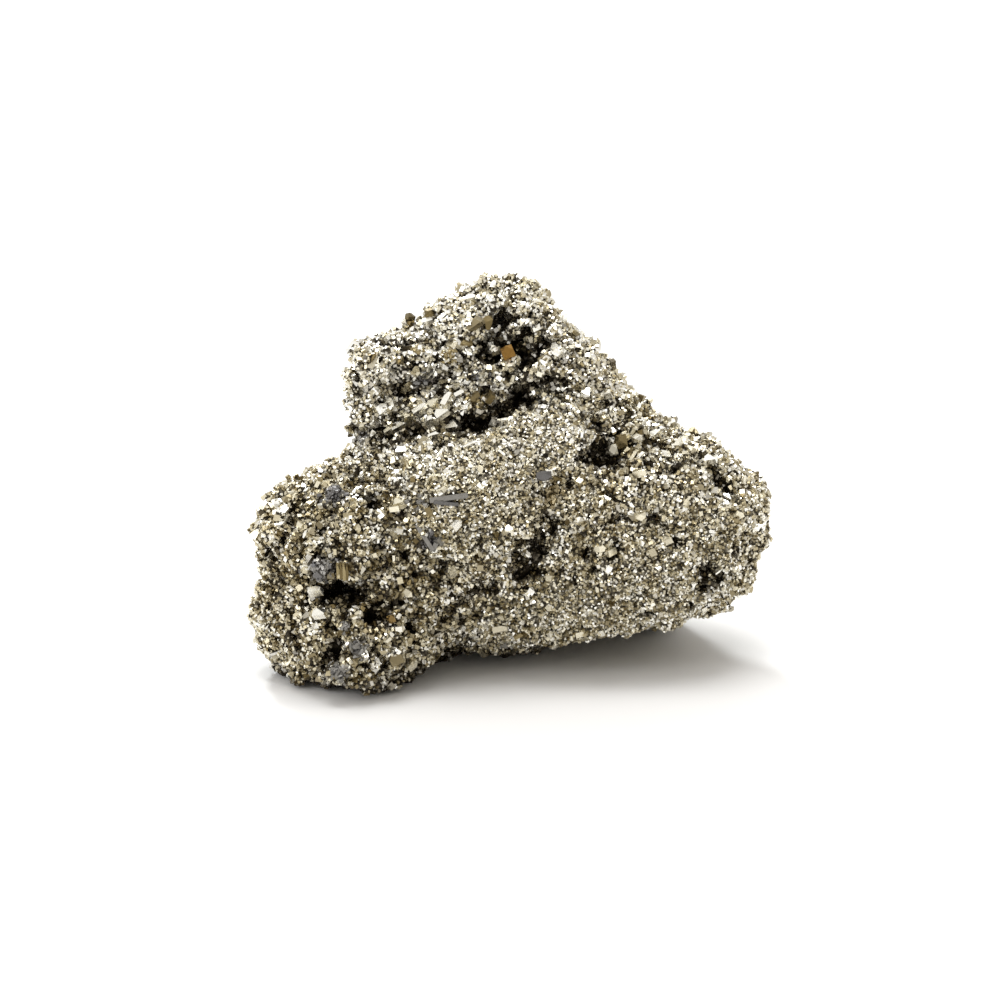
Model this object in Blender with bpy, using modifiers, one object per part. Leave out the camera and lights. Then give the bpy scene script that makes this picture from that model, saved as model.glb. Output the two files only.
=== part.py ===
"""Pyrite specimen: one hand-sized lump of intergrown crystals, resting on its broken underside.

The lump is a single natural piece. It is made as a rough body of overlapping masses, opened by a
crevice and by small vugs, roughened, thinned to plain facets, and then set with cube-like crystals.
Frame: metres, +Z up, +X along the length, +Y to the back. The origin lies on the resting plane,
under the middle of the bounding box. Shapes are written in millimetres and scaled by MM.
"""

import math
import random

import bmesh
import bpy
from mathutils import Euler, Matrix, Vector, noise
from mathutils.bvhtree import BVHTree

MM = 0.001

# Driving dimensions of the finished lump, in millimetres.
LENGTH = 70.0
DEPTH = 44.0
HEIGHT = 51.0

# Surface and mesh settings, in millimetres.
BODY_VOXEL = 0.9
HOLLOW_VOXEL = 0.6
SKIN_VOXEL = 0.6
REST_LEVEL = -0.2
SHORTEST_EDGE = 0.002
BODY_TRIANGLES = 3900
SEED = 5

# The front's small features are laid out as seen from this point: millimetres across and up from the
# foot of the lump, in the plane that faces it.
SIGHT_TILT = math.radians(18)
SIGHT_AIM = Vector((-1.5, 2.0, 22.0))
SIGHT_DISTANCE = 500.0

# The overlapping masses: centre, half-sizes, turn in degrees, and how square each one is (0 round).
MASSES = {
    "flank": ((9.5, 3.5, 16.2), (24.6, 14.5, 13.5), (0, -11, 0), 0.4),
    "flank_top": ((3.0, 3.0, 26.0), (15.5, 11.5, 11.5), (0, 8, 0), 0.25),
    "flank_foot": ((-4.0, 5.0, 8.2), (14.0, 9.5, 8.6), (0, 0, 0), 0.4),
    "underside": ((-1.5, 11.6, 5.2), (18.5, 8.0, 6.4), (0, 0, 34), 0.7),
    "spur": ((-10.0, -1.2, 20.5), (18.0, 10.5, 11.5), (0, -20, -8), 0.3),
    "spur_foot": ((-14.5, -3.5, 10.5), (8.5, 9.0, 10.0), (0, 20, -20), 0.3),
    "nose_lower": ((-22.5, -5.3, 7.6), (11.5, 8.8, 8.9), (0, 0, -38), 0.6),
    "nose_upper": ((-23.2, -3.6, 18.8), (11.2, 9.5, 8.1), (0, -10, -15), 0.35),
    "shoulder": ((-21.2, 1.0, 24.0), (8.8, 7.5, 5.0), (0, -34, 0), 0.3),
    "back": ((0.0, 13.0, 17.0), (24.0, 10.0, 15.0), (0, 0, -6), 0.4),
    "back_left": ((-12.0, 12.0, 14.0), (14.0, 10.5, 13.5), (0, 10, 12), 0.4),
    "back_right": ((16.5, 15.0, 9.0), (8.5, 8.0, 10.2), (0, 0, 20), 0.5),
    "back_high": ((6.0, 14.5, 27.0), (11.0, 8.5, 12.0), (0, 20, 0), 0.4),
    "knob": ((-4.1, 9.0, 39.8), (10.0, 7.5, 9.3), (0, -32, 0), 0.35),
    "knob_left": ((-16.4, 6.5, 36.3), (5.9, 6.5, 7.0), (0, 0, 0), 0.5),
    "peak": ((1.8, 8.5, 46.2), (4.5, 4.2, 4.6), (0, 0, 0), 0.35),
    "ledge_upper": ((-0.5, 2.6, 40.2), (9.5, 3.2, 1.7), (0, -14, 0), 0.3),
    "ledge_lower": ((-8.8, 2.6, 34.6), (6.8, 3.4, 2.1), (0, -24, 0), 0.3),
    "ridge_high": ((5.6, 9.0, 36.8), (10.0, 8.0, 7.3), (0, 42, 0), 0.35),
    "ridge_low": ((17.8, 8.0, 25.0), (14.0, 9.5, 7.0), (0, 37, 0), 0.35),
    "right_end": ((29.2, 4.5, 19.9), (6.4, 7.5, 5.1), (0, 0, 0), 0.55),
    "right_foot": ((24.9, 4.0, 10.8), (8.7, 8.5, 5.7), (0, -22, 0), 0.4),
}

# The crevice under the knob, from left to right: across, up and half-height of each opening in the row.
CREVICE = [
    (-17.2, 30.9, 0.7),
    (-14.6, 31.2, 0.6),
    (-12.0, 30.9, 0.8),
    (-9.2, 30.8, 0.9),
    (-6.4, 31.3, 1.5),
    (-3.6, 32.2, 1.7),
    (-1.0, 33.4, 1.2),
    (1.6, 35.0, 0.8),
    (4.0, 36.8, 0.7),
]
CREVICE_HALF_WIDTH = 2.4
CREVICE_DEPTH = 5.5

# Vugs in the front: across, up, half-width, half-height and depth.
VUGS = [
    (1.4, 41.4, 4.4, 2.0, 5.0),
    (-0.2, 44.6, 2.2, 1.5, 3.5),
    (-14.2, 36.6, 1.9, 2.1, 4.0),
    (-20.2, 38.6, 1.7, 1.3, 3.0),
    (-23.0, 9.2, 5.6, 1.8, 4.5),
    (-17.3, 6.6, 2.4, 2.0, 4.0),
    (-24.2, 2.0, 2.2, 1.6, 3.0),
    (-28.6, 20.6, 2.6, 1.5, 3.0),
    (5.2, 23.6, 1.8, 1.4, 2.0),
    (14.0, 28.0, 3.2, 2.0, 4.0),
    (11.4, 31.8, 1.6, 2.0, 3.0),
    (19.4, 18.5, 1.3, 1.3, 2.6),
    (10.4, 14.8, 1.1, 1.5, 2.2),
    (14.8, 15.2, 1.0, 1.4, 2.0),
    (1.6, 12.6, 2.0, 1.2, 2.2),
    (4.9, 18.2, 1.7, 1.0, 2.0),
    (3.4, 15.4, 1.6, 1.1, 2.2),
    (-3.6, 9.6, 2.8, 1.3, 2.6),
    (28.4, 23.8, 2.6, 1.4, 3.0),
    (27.2, 11.8, 3.6, 1.2, 3.0),
]

# Planes that cut a cube 2 units wide into each kind of crystal: normal, and distance from the middle.
PYRITOHEDRON_FACES = [
    (turned, 0.86)
    for normal in [(1, 2, 0), (1, -2, 0), (-1, 2, 0), (-1, -2, 0)]
    for turned in [normal, normal[1:] + normal[:1], normal[2:] + normal[:2]]
]
CRYSTAL_CUTS = {
    "cube": [],
    "cut cube": [((1, 1, 1), 1.3), ((-1, 1, 1), 1.4), ((1, -1, 1), 1.35), ((-1, -1, -1), 1.4)],
    "pyritohedron": PYRITOHEDRON_FACES,
}

# Crystals that stand out on the front: kind, across, up and half-size.
FRONT_CRYSTALS = [
    ("pyritohedron", -0.4, 41.0, 1.05),
    ("cut cube", -2.6, 41.3, 0.9),
    ("cube", -18.9, 40.2, 0.9),
    ("pyritohedron", -11.0, 46.0, 0.8),
    ("cube", -4.9, 45.2, 0.8),
    ("cut cube", -3.9, 38.2, 0.8),
    ("cut cube", -8.0, 31.4, 0.8),
    ("cube", -9.6, 31.6, 0.65),
    ("cut cube", 4.3, 24.8, 1.15),
    ("cube", 12.9, 35.7, 1.0),
    ("pyritohedron", 14.8, 29.2, 1.1),
    ("cube", 13.7, 27.8, 0.9),
    ("cut cube", 16.9, 29.6, 0.8),
    ("cube", 21.6, 31.6, 0.9),
    ("cube", 26.7, 27.1, 0.8),
    ("cube", -22.5, 11.9, 1.1),
    ("cut cube", -26.1, 9.1, 0.85),
    ("cube", -25.6, 6.2, 0.8),
    ("cut cube", -23.9, 22.4, 1.0),
    ("cube", -25.3, 12.3, 1.0),
    ("pyritohedron", -20.8, 1.9, 1.0),
    ("cube", -23.0, -1.2, 0.9),
    ("pyritohedron", -15.8, 5.5, 0.8),
    ("cube", -15.4, 0.1, 1.0),
    ("cube", -1.5, 4.2, 1.0),
]
CRYSTAL_SEATS = 95
SEATS_FROM_Z = 2.5
SEATS_TO_Z = 47.0
SEATS_TO_X = 30.5
CRYSTAL_SPACING = 3.6
SCATTERED_HALF_SIZE = (0.7, 1.05)
SCATTERED_KINDS = ["cube", "cube", "cube", "cut cube", "pyritohedron"]


def place(centre, turn=(0, 0, 0)):
    """The matrix that sets a shape at centre, turned by three angles in degrees."""
    angles = Euler([math.radians(angle) for angle in turn])
    return Matrix.Translation(Vector(centre) * MM) @ angles.to_matrix().to_4x4()


def add_mass(shape, centre, half_sizes, turn, squareness):
    """Adds one rounded block: a ball drawn part of the way towards its cube, then stretched."""
    ball = bmesh.ops.create_icosphere(shape, subdivisions=3, radius=1.0)["verts"]
    for vertex in ball:
        cube_point = vertex.co / max(abs(value) for value in vertex.co)
        vertex.co = vertex.co.lerp(cube_point, squareness)
        vertex.co = Vector(vertex.co[axis] * half_sizes[axis] * MM for axis in range(3))
    bmesh.ops.transform(shape, matrix=place(centre, turn), verts=ball)


def new_object(name, shape, collection):
    mesh = bpy.data.meshes.new(name)
    shape.to_mesh(mesh)
    shape.free()
    made = bpy.data.objects.new(name, mesh)
    collection.objects.link(made)
    return made


def as_cutter(obj):
    obj.hide_render = True
    obj.display_type = "WIRE"
    return obj


def add_remesh(obj, name, voxel):
    remesh = obj.modifiers.new(name, "REMESH")
    remesh.mode = "VOXEL"
    remesh.voxel_size = voxel * MM


def add_smooth(obj, name, passes):
    smooth = obj.modifiers.new(name, "SMOOTH")
    smooth.factor = 0.5
    smooth.iterations = passes


def add_boolean(obj, name, operation, other, overlaps_itself=False):
    boolean = obj.modifiers.new(name, "BOOLEAN")
    boolean.operation = operation
    boolean.object = other
    boolean.use_self = overlaps_itself


def bake_modifiers(obj):
    """Replaces an object's mesh by what its modifiers make of it."""
    graph = bpy.context.evaluated_depsgraph_get()
    mesh = bpy.data.meshes.new_from_object(obj.evaluated_get(graph))
    obj.modifiers.clear()
    obj.data = mesh


def surface_of(obj):
    """A search tree over an object's mesh as it stands."""
    shape = bmesh.new()
    shape.from_mesh(obj.data)
    tree = BVHTree.FromBMesh(shape)
    shape.free()
    return tree


def seen_at(tree, across, up):
    """The surface point, its normal and the sight line, where a feature shows on the front."""
    toward_eye = Vector((0, -math.cos(SIGHT_TILT), math.sin(SIGHT_TILT)))
    rise = Vector((0, math.sin(SIGHT_TILT), math.cos(SIGHT_TILT)))
    eye = SIGHT_AIM + toward_eye * SIGHT_DISTANCE
    aimed = SIGHT_AIM + Vector((across - SIGHT_AIM.x, 0, 0)) + rise * (up - SIGHT_AIM.dot(rise))
    sight = (aimed - eye).normalized()
    point, normal, _, _ = tree.ray_cast(eye * MM, sight)
    if point is None:
        raise ValueError(f"nothing of the lump lies at {across}, {up}")
    return point, normal, sight


def lumps(at, cell):
    """A field of rounded lumps, one cell apart: 1 in the middle of a lump, down to 0 and below between."""
    distances, _ = noise.voronoi(at / cell)
    return 1.0 - 1.6 * distances[0]


def relief_height(at):
    """How far the skin stands out from the smooth body, in millimetres."""
    swell = 0.9 * noise.noise(at / 9.0)
    coarse = 0.8 * noise.noise(at / 3.4 + Vector((5.0, 1.0, 8.0)))
    return swell + coarse + 0.6 * lumps(at, 3.1) - 0.35


def hollow_height(at):
    return 1.3 * noise.noise(at / 1.9)


def push_out(obj, height):
    """Moves each point of an object's skin outward by its height in millimetres."""
    moves = [vertex.normal * MM * height(vertex.co / MM) for vertex in obj.data.vertices]
    for vertex, move in zip(obj.data.vertices, moves):
        vertex.co += move


def build_body(collection):
    shape = bmesh.new()
    for mass in MASSES.values():
        add_mass(shape, *mass)
    body = new_object("pyrite_cluster", shape, collection)
    add_remesh(body, "join the masses", BODY_VOXEL)
    add_smooth(body, "soften the joins", 10)
    bake_modifiers(body)
    return body


def build_hollows(body, collection):
    """The crevice and the vugs as one cutter: rough balls pushed into the front along the sight line."""
    openings = list(VUGS)
    for across, up, half_height in CREVICE:
        openings.append((across, up, CREVICE_HALF_WIDTH, half_height, CREVICE_DEPTH))
    shape = bmesh.new()
    tree = surface_of(body)
    sight_turn = (-math.degrees(SIGHT_TILT), 0, 0)
    for across, up, half_width, half_height, depth in openings:
        point, _, _ = seen_at(tree, across, up)
        add_mass(shape, point / MM, (half_width, depth, half_height), sight_turn, 0.0)
    hollows = new_object("hollows", shape, collection)
    add_remesh(hollows, "join the hollows", HOLLOW_VOXEL)
    bake_modifiers(hollows)
    push_out(hollows, hollow_height)
    return as_cutter(hollows)


def thin_out(body):
    """Fewer, larger and flatter faces: the broken facets between the crystals."""
    thinned = body.modifiers.new("facets", "DECIMATE")
    thinned.ratio = BODY_TRIANGLES / sum(len(face.vertices) - 2 for face in body.data.polygons)
    bake_modifiers(body)


def crystal_shape(kind):
    """A closed crystal 2 units wide: a cube, a cube with some corners cut, or a pyritohedron."""
    crystal = bmesh.new()
    bmesh.ops.create_cube(crystal, size=2.0)
    for normal, distance in CRYSTAL_CUTS[kind]:
        geometry = crystal.verts[:] + crystal.edges[:] + crystal.faces[:]
        direction = Vector(normal).normalized()
        bmesh.ops.bisect_plane(
            crystal,
            geom=geometry,
            dist=0.0001,
            plane_co=direction * distance,
            plane_no=direction,
            clear_outer=True,
        )
        rim = [edge for edge in crystal.edges if edge.is_boundary]
        bmesh.ops.holes_fill(crystal, edges=rim)
    bmesh.ops.recalc_face_normals(crystal, faces=crystal.faces)
    mesh = bpy.data.meshes.new(kind)
    crystal.to_mesh(mesh)
    crystal.free()
    return mesh


def seat_crystal(shape, kinds, kind, point, outward, half_size, proud, chance):
    """Sets one crystal in the surface: part sunk, turned at random, a little out of square."""
    before = len(shape.verts)
    shape.from_mesh(kinds[kind])
    shape.verts.ensure_lookup_table()
    turn = Euler([chance.uniform(0, math.pi) for _ in range(3)]).to_matrix()
    stretch = [half_size * chance.uniform(0.75, 1.25) for _ in range(3)]
    centre = point / MM + outward * half_size * proud
    for vertex in shape.verts[before:]:
        cut = Vector(vertex.co[axis] * stretch[axis] for axis in range(3))
        vertex.co = (centre + turn @ cut) * MM


def build_crystals(body, collection):
    chance = random.Random(SEED)
    kinds = {kind: crystal_shape(kind) for kind in CRYSTAL_CUTS}
    tree = surface_of(body)
    shape = bmesh.new()
    seats = []
    for kind, across, up, half_size in FRONT_CRYSTALS:
        point, normal, sight = seen_at(tree, across, up)
        outward = (normal - sight).normalized()
        seats.append(point)
        seat_crystal(shape, kinds, kind, point, outward, half_size, 0.2, chance)
    faces = []
    for face in body.data.polygons:
        x, _, z = face.center / MM
        if SEATS_FROM_Z < z < SEATS_TO_Z and abs(x) < SEATS_TO_X:
            faces.append(face)
    weights = [face.area for face in faces]
    while len(seats) < CRYSTAL_SEATS:
        face = chance.choices(faces, weights)[0]
        point = face.center.copy()
        if min((point - seat).length for seat in seats) < CRYSTAL_SPACING * MM:
            continue
        seats.append(point)
        half_size = chance.uniform(*SCATTERED_HALF_SIZE)
        along = face.normal.orthogonal().normalized() * half_size * MM
        for centre, size in [(point, half_size), (point + along, half_size * 0.75)]:
            kind = chance.choice(SCATTERED_KINDS)
            seat_crystal(shape, kinds, kind, centre, face.normal, size, 0.05, chance)
    return as_cutter(new_object("crystals", shape, collection))


def build_floor(collection):
    """A block whose top is the resting plane, just above the lowest points of the lump."""
    shape = bmesh.new()
    bmesh.ops.create_cube(shape, size=1.0)
    block = Vector((120.0, 120.0, 20.0))
    for vertex in shape.verts:
        vertex.co = Vector(vertex.co[axis] * block[axis] for axis in range(3)) * MM
        vertex.co.z += (REST_LEVEL - block.z / 2) * MM
    return as_cutter(new_object("resting plane", shape, collection))


def set_on_origin(body):
    """Stands the lump on z = 0 over the origin and brings it to its exact overall sizes."""
    points = [vertex.co for vertex in body.data.vertices]
    low = Vector(min(point[axis] for point in points) for axis in range(3))
    high = Vector(max(point[axis] for point in points) for axis in range(3))
    middle = (low + high) / 2
    foot = Vector((middle.x, middle.y, low.z))
    sizes = Vector((LENGTH, DEPTH, HEIGHT)) * MM
    for vertex in body.data.vertices:
        moved = vertex.co - foot
        vertex.co = Vector(moved[axis] * sizes[axis] / (high - low)[axis] for axis in range(3))


def loose_faces(shape):
    """The faces of every piece that is not joined to the largest one."""
    pieces = []
    waiting = set(shape.faces)
    while waiting:
        piece = {waiting.pop()}
        edge_of_search = list(piece)
        while edge_of_search:
            face = edge_of_search.pop()
            for edge in face.edges:
                for neighbour in edge.link_faces:
                    if neighbour in waiting:
                        waiting.remove(neighbour)
                        piece.add(neighbour)
                        edge_of_search.append(neighbour)
        pieces.append(piece)
    pieces.sort(key=len)
    return [face for piece in pieces[:-1] for face in piece]


def keep_largest(body):
    """Removes crumbs cut loose by the hollows, and bubbles that the crystals have closed in."""
    shape = bmesh.new()
    shape.from_mesh(body.data)
    bmesh.ops.delete(shape, geom=loose_faces(shape), context="FACES")
    shape.to_mesh(body.data)
    shape.free()


def make_triangles(body):
    shape = bmesh.new()
    shape.from_mesh(body.data)
    bmesh.ops.dissolve_degenerate(shape, dist=SHORTEST_EDGE * MM, edges=shape.edges)
    bmesh.ops.triangulate(shape, faces=shape.faces)
    shape.to_mesh(body.data)
    shape.free()
    for face in body.data.polygons:
        face.use_smooth = False


def pyrite_material():
    material = bpy.data.materials.new("pyrite")
    material.use_nodes = True
    surface = material.node_tree.nodes["Principled BSDF"]
    surface.inputs["Base Color"].default_value = (0.58, 0.49, 0.32, 1.0)
    surface.inputs["Metallic"].default_value = 0.9
    surface.inputs["Roughness"].default_value = 0.35
    return material


def main():
    for old in list(bpy.data.objects):
        bpy.data.objects.remove(old)
    collection = bpy.data.collections.new("pyrite specimen")
    cutters = bpy.data.collections.new("cutters")
    bpy.context.scene.collection.children.link(collection)
    bpy.context.scene.collection.children.link(cutters)

    body = build_body(collection)
    hollows = build_hollows(body, cutters)
    add_boolean(body, "open the hollows", "DIFFERENCE", hollows, overlaps_itself=True)
    add_remesh(body, "even out", SKIN_VOXEL)
    bake_modifiers(body)
    push_out(body, relief_height)
    add_remesh(body, "part the skin where it meets itself", SKIN_VOXEL)
    bake_modifiers(body)
    keep_largest(body)
    thin_out(body)
    crystals = build_crystals(body, cutters)
    add_boolean(body, "set the crystals", "UNION", crystals, overlaps_itself=True)
    bake_modifiers(body)
    floor = build_floor(cutters)
    add_boolean(body, "flatten the rest", "DIFFERENCE", floor)
    bake_modifiers(body)
    keep_largest(body)
    make_triangles(body)
    set_on_origin(body)
    body.data.materials.clear()
    body.data.materials.append(pyrite_material())


main()
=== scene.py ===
# %% [markdown]
# # Pyrite specimen
# A palm-sized lump of granular pyrite: thousands of small brassy crystals grown into one
# another. The solid gives the form of the lump: its knob, nose, crevice and vugs. This scene
# adds what makes it pyrite: a crust of sugar-fine crystals, the larger ones that stand in it,
# and a metal that glints.

import math

import bpy
import numpy as np
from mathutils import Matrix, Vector, noise
from mathutils.bvhtree import BVHTree
from mathutils.kdtree import KDTree


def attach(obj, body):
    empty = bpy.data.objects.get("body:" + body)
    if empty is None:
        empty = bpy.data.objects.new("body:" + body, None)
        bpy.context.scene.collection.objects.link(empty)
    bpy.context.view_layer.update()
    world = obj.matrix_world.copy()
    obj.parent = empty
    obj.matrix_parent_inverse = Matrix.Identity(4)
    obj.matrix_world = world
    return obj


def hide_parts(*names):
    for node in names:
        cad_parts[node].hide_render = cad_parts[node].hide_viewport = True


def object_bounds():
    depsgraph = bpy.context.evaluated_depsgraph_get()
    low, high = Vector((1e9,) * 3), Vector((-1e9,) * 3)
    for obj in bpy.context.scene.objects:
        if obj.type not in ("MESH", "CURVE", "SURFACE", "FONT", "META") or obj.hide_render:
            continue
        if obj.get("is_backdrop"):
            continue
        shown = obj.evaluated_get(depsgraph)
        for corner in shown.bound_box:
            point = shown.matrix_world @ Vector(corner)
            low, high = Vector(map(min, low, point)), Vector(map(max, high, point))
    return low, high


MM = 0.001
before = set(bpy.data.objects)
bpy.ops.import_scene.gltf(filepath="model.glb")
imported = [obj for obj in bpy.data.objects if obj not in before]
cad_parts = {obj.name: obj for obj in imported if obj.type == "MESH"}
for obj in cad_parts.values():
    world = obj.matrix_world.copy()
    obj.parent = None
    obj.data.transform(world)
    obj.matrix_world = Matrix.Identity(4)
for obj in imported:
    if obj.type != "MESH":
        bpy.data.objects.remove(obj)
solid_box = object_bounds()
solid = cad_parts["pyrite_cluster"]
print("solid, mm:", [round(value / MM, 1) for corner in solid_box for value in corner])

# %% [markdown]
# ## Camera
# The lump is seen from a little above the table, from far enough back that its sides hardly
# spread. A point of the view is named by how far right and how far down it lies, in
# thousandths of the view: the vugs and the large crystals are placed that way, and rays from
# the eye find them on the lump.

# %% Camera
TILT = math.radians(18)
AIM = Vector((-1.61, 1.54, 20.9)) * MM
DISTANCE = 0.5
LENS = 134.3
SENSOR = 36.0
toward_eye = Vector((0, -math.cos(TILT), math.sin(TILT)))
rise = Vector((0, math.sin(TILT), math.cos(TILT)))
eye = AIM + toward_eye * DISTANCE
bpy.ops.object.camera_add(location=eye, rotation=(math.radians(90) - TILT, 0, 0))
camera = bpy.context.object
camera.name = "front camera"
camera.data.lens = LENS
camera.data.sensor_width = SENSOR
camera.data.clip_start = 0.01
bpy.context.scene.camera = camera


def view_ray(right, down):
    """The direction from the eye through a point of the view."""
    across = (right - 500) / 1000 * SENSOR / LENS
    up = (500 - down) / 1000 * SENSOR / LENS
    return (Vector((across, 0, 0)) + rise * up - toward_eye).normalized()


print("one thousandth of the view is", round(DISTANCE * SENSOR / LENS, 3), "mm at the lump")

# %% [markdown]
# ## Table and light
# Bright metal shows mostly what surrounds it. The lump stands on a white table in a warm room
# that is brightest behind its left shoulder, where the sun comes from too. Facets that turn
# there or to the table go white, and those that turn to the near side of the room stay brown.
# Two soft lamps, one on the left and one above, keep the front from going dull.

# %% Table
bpy.ops.object.select_all(action="DESELECT")
bpy.ops.mesh.primitive_plane_add(size=8.0, location=(0, 0, 0))
table = bpy.context.object
table.name = "table"
table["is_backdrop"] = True
print("table:", tuple(round(size) for size in table.dimensions[:2]), "metres")


# %% Shader helpers
class Signal:
    """A socket with arithmetic: every operator adds the Math node that works it out."""

    def __init__(self, tree, socket):
        self.tree = tree
        self.socket = socket

    def math(self, operation, first, second=None):
        """A Math node that takes signals or plain numbers."""
        node = self.tree.nodes.new("ShaderNodeMath")
        node.operation = operation
        for slot, value in zip(node.inputs, (first, second)):
            if isinstance(value, Signal):
                self.tree.links.new(value.socket, slot)
            elif value is not None:
                slot.default_value = value
        return Signal(self.tree, node.outputs[0])

    def __add__(self, other):
        return self.math("ADD", self, other)

    __radd__ = __add__

    def __mul__(self, other):
        return self.math("MULTIPLY", self, other)

    __rmul__ = __mul__

    def __sub__(self, other):
        return self.math("SUBTRACT", self, other)

    def __rsub__(self, other):
        return self.math("SUBTRACT", other, self)

    def above(self, edge, width):
        """0 below the edge, 1 above it, changing over width."""
        node = self.tree.nodes.new("ShaderNodeMapRange")
        node.interpolation_type = "SMOOTHSTEP"
        self.tree.links.new(self.socket, node.inputs["Value"])
        node.inputs["From Min"].default_value = edge - width / 2
        node.inputs["From Max"].default_value = edge + width / 2
        return Signal(self.tree, node.outputs["Result"])


class Recipe:
    """The node tree of one finish."""

    def __init__(self, owner):
        owner.use_nodes = True
        self.tree = owner.node_tree

    def node(self, kind, settings=None, sockets=None, output=0):
        """Adds a node: its settings first, then the values or links of its sockets."""
        node = self.tree.nodes.new(kind)
        for name, value in (settings or {}).items():
            if name == "stops":
                while len(node.color_ramp.elements) < len(value):
                    node.color_ramp.elements.new(0.5)
                for element, (place, colour) in zip(node.color_ramp.elements, value):
                    element.position = place
                    element.color = (*colour, 1.0)
            else:
                setattr(node, name, value)
        for name, value in (sockets or {}).items():
            self.feed(node.inputs[name], value)
        return Signal(self.tree, node.outputs[output])

    def feed(self, slot, value):
        """Links a signal to a socket, or sets the socket's value."""
        if isinstance(value, Signal):
            self.tree.links.new(value.socket, slot)
        elif isinstance(value, tuple) and slot.type == "RGBA":
            slot.default_value = (*value, 1.0)
        else:
            slot.default_value = value

    def mix(self, amount, first, second):
        """One colour turning into another as amount goes from 0 to 1."""
        sockets = {0: amount, 6: first, 7: second}
        return self.node("ShaderNodeMix", {"data_type": "RGBA"}, sockets, output=2)


# %% Table finish
white_paper = bpy.data.materials.new("white paper")
paper = Recipe(white_paper)
paper_shader = paper.tree.nodes["Principled BSDF"]
paper.feed(paper_shader.inputs["Base Color"], (0.78, 0.775, 0.77))
paper.feed(paper_shader.inputs["Roughness"], 0.9)
paper.feed(paper_shader.inputs["Specular IOR Level"], 0.1)
table.data.materials.append(white_paper)
print("table finish:", table.data.materials[0].name)

# %% The room
# The brightest side of the room, from the lump: left, behind and above.
BRIGHT_SIDE = Vector((-0.45, 0.55, 0.70)).normalized()
room = bpy.data.worlds.new("room")
bpy.context.scene.world = room
air = Recipe(room)
direction = air.node("ShaderNodeTexCoord", output="Generated")
lit_side = air.node(
    "ShaderNodeVectorMath",
    {"operation": "DOT_PRODUCT"},
    {0: direction, 1: BRIGHT_SIDE},
    output="Value",
)
glow = air.node(
    "ShaderNodeValToRGB",
    {
        "stops": [
            (0.0, (0.33, 0.30, 0.24)),
            (0.4, (0.62, 0.585, 0.525)),
            (0.75, (0.96, 0.945, 0.925)),
            (1.0, (1.10, 1.10, 1.10)),
        ]
    },
    {"Fac": lit_side * 0.5 + 0.5},
)
background = air.tree.nodes["Background"]
air.feed(background.inputs["Color"], glow)
air.feed(background.inputs["Strength"], 1.0)
print("room:", len(air.tree.nodes), "nodes")

# %% Lights
SUN_STRENGTH = 2.1
SUN_FROM = Vector((-0.31, 0.90, 0.70))
SUN_WIDTH = math.radians(11)
bpy.ops.object.light_add(type="SUN", location=SUN_FROM)
key = bpy.context.object
key.name = "key light"
key.data.energy = SUN_STRENGTH
key.data.angle = SUN_WIDTH
key.data.color = (0.95, 0.985, 1.0)
key.rotation_euler = SUN_FROM.to_track_quat("Z", "Y").to_euler()
bpy.context.scene.view_settings.view_transform = "Standard"


def soft_light(name, place, power, size):
    """A square soft light that faces the lump."""
    bpy.ops.object.light_add(type="AREA", location=place)
    light = bpy.context.object
    light.name = name
    light.data.energy = power
    light.data.size = size
    light.rotation_euler = (Vector(place) - AIM).to_track_quat("Z", "Y").to_euler()


soft_light("left fill", (-0.55, -0.35, 0.35), 1.0, 0.3)
soft_light("top fill", (0.0, 0.0, 0.8), 3.6, 0.4)

# %% [markdown]
# ## Coarse and fine places
# The grain is not the same all over. On the knob and round the vugs the crystals had room to
# grow, and are coarse with deep gaps between them. On the bench and the flank they are packed
# as fine as sugar. A short list of places says how coarse and how gappy each one is, and what
# lies between them blends from one to the next.

# %% The solid's surface
def deselect_all():
    bpy.ops.object.select_all(action="DESELECT")


def read_points(mesh):
    """The points of a mesh, one row each."""
    values = np.empty(len(mesh.vertices) * 3)
    mesh.vertices.foreach_get("co", values)
    return values.reshape(-1, 3)


def read_triangles(mesh):
    """The numbers of the three points of each triangle."""
    mesh.calc_loop_triangles()
    values = np.empty(len(mesh.loop_triangles) * 3, dtype=np.int32)
    mesh.loop_triangles.foreach_get("vertices", values)
    return values.reshape(-1, 3)


def search_tree(mesh):
    """What finds where a ray meets a mesh."""
    return BVHTree.FromPolygons(read_points(mesh).tolist(), read_triangles(mesh).tolist())


def seen(tree, right, down):
    """The point, and the way out from it, that show at a point of the view."""
    point, normal, _, _ = tree.ray_cast(eye, view_ray(right, down))
    if point is None:
        raise ValueError(f"the lump does not show at {right}, {down}")
    return np.array(point), np.array(normal)


solid_tree = search_tree(solid.data)
print("solid:", len(read_triangles(solid.data)), "triangles")

# %% Places
# Places with a grain of their own: right, down, reach in mm, size of grain against the usual,
# and how deep the gaps are, from 0 to 1.
PLACES = [
    (508, 352, 8.0, 1.12, 0.75),
    (395, 375, 8.0, 1.12, 0.7),
    (430, 420, 5.0, 1.15, 0.6),
    (520, 400, 4.0, 1.05, 0.35),
    (320, 560, 9.0, 1.12, 0.7),
    (390, 620, 9.0, 1.12, 0.7),
    (625, 445, 5.0, 1.15, 0.9),
    (680, 440, 6.0, 1.10, 0.6),
    (600, 535, 6.0, 1.05, 0.5),
    (530, 555, 5.0, 1.05, 0.6),
    (722, 482, 3.0, 1.05, 0.7),
    (560, 600, 9.0, 0.82, 0.25),
    (700, 540, 6.0, 0.88, 0.3),
    (450, 480, 7.0, 0.82, 0.2),
    (560, 450, 6.0, 0.82, 0.2),
    (650, 600, 7.0, 0.82, 0.25),
]
place_points = [seen(solid_tree, right, down)[0] for right, down, *_ in PLACES]
FRONT_GRAIN = 0.86
BACK_GRAIN = 1.42
# How far back, in mm, the grain starts to turn coarser, and over what depth.
BACK_STARTS = 3
BACK_BLEND = 7
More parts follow.
